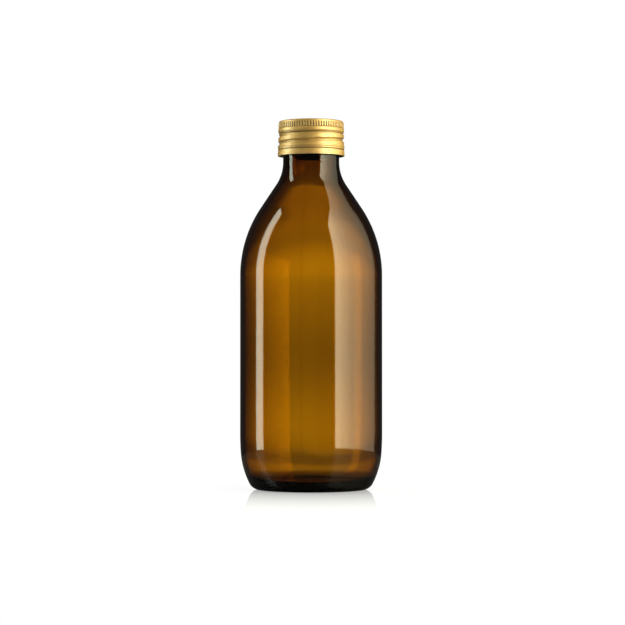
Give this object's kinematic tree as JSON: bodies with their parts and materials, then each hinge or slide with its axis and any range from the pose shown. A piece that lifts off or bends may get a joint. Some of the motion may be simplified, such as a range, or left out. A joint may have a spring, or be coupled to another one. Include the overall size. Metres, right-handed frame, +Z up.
{
  "type": "glass bottle with screw cap",
  "caption": "Round-shouldered amber glass bottle with a rolled aluminium screw cap that unscrews and lifts off its threaded neck.",
  "frame": {"origin": "centre of the circle that the bottle stands on", "axes": "+Z up the bottle's axis towards the cap, +X to the right seen from the front, the front facing -Y"},
  "size_m": [0.0616, 0.0616, 0.1595],
  "materials": {
    "amber_glass": "clear gloss, brown through its thickness",
    "gold_aluminium": "satin gold lacquer",
    "foam_wad": "fine closed foam",
    "barrier_film": "smooth film"
  },
  "bodies": {
    "bottle": {"glass_bottle": "amber_glass"},
    "liner": {"liner_wad": "foam_wad", "liner_facing": "barrier_film"},
    "cap": {"cap_shell": "gold_aluminium"}
  },
  "joints": [
    {"name": "cap_rise", "type": "slide", "parent": "bottle", "child": "liner", "axis": [0, 0, 1], "range_m": [0, 0.01588]},
    {"name": "cap_turn", "type": "hinge", "parent": "liner", "child": "cap", "pos_m": [0, 0, 0.1578], "axis": [0, 0, 1], "range_deg": [0, 1800]}
  ],
  "couplings": [
    {"joint": "cap_rise", "follows": "cap_turn", "m_per_rad": 0.00050532}
  ]
}
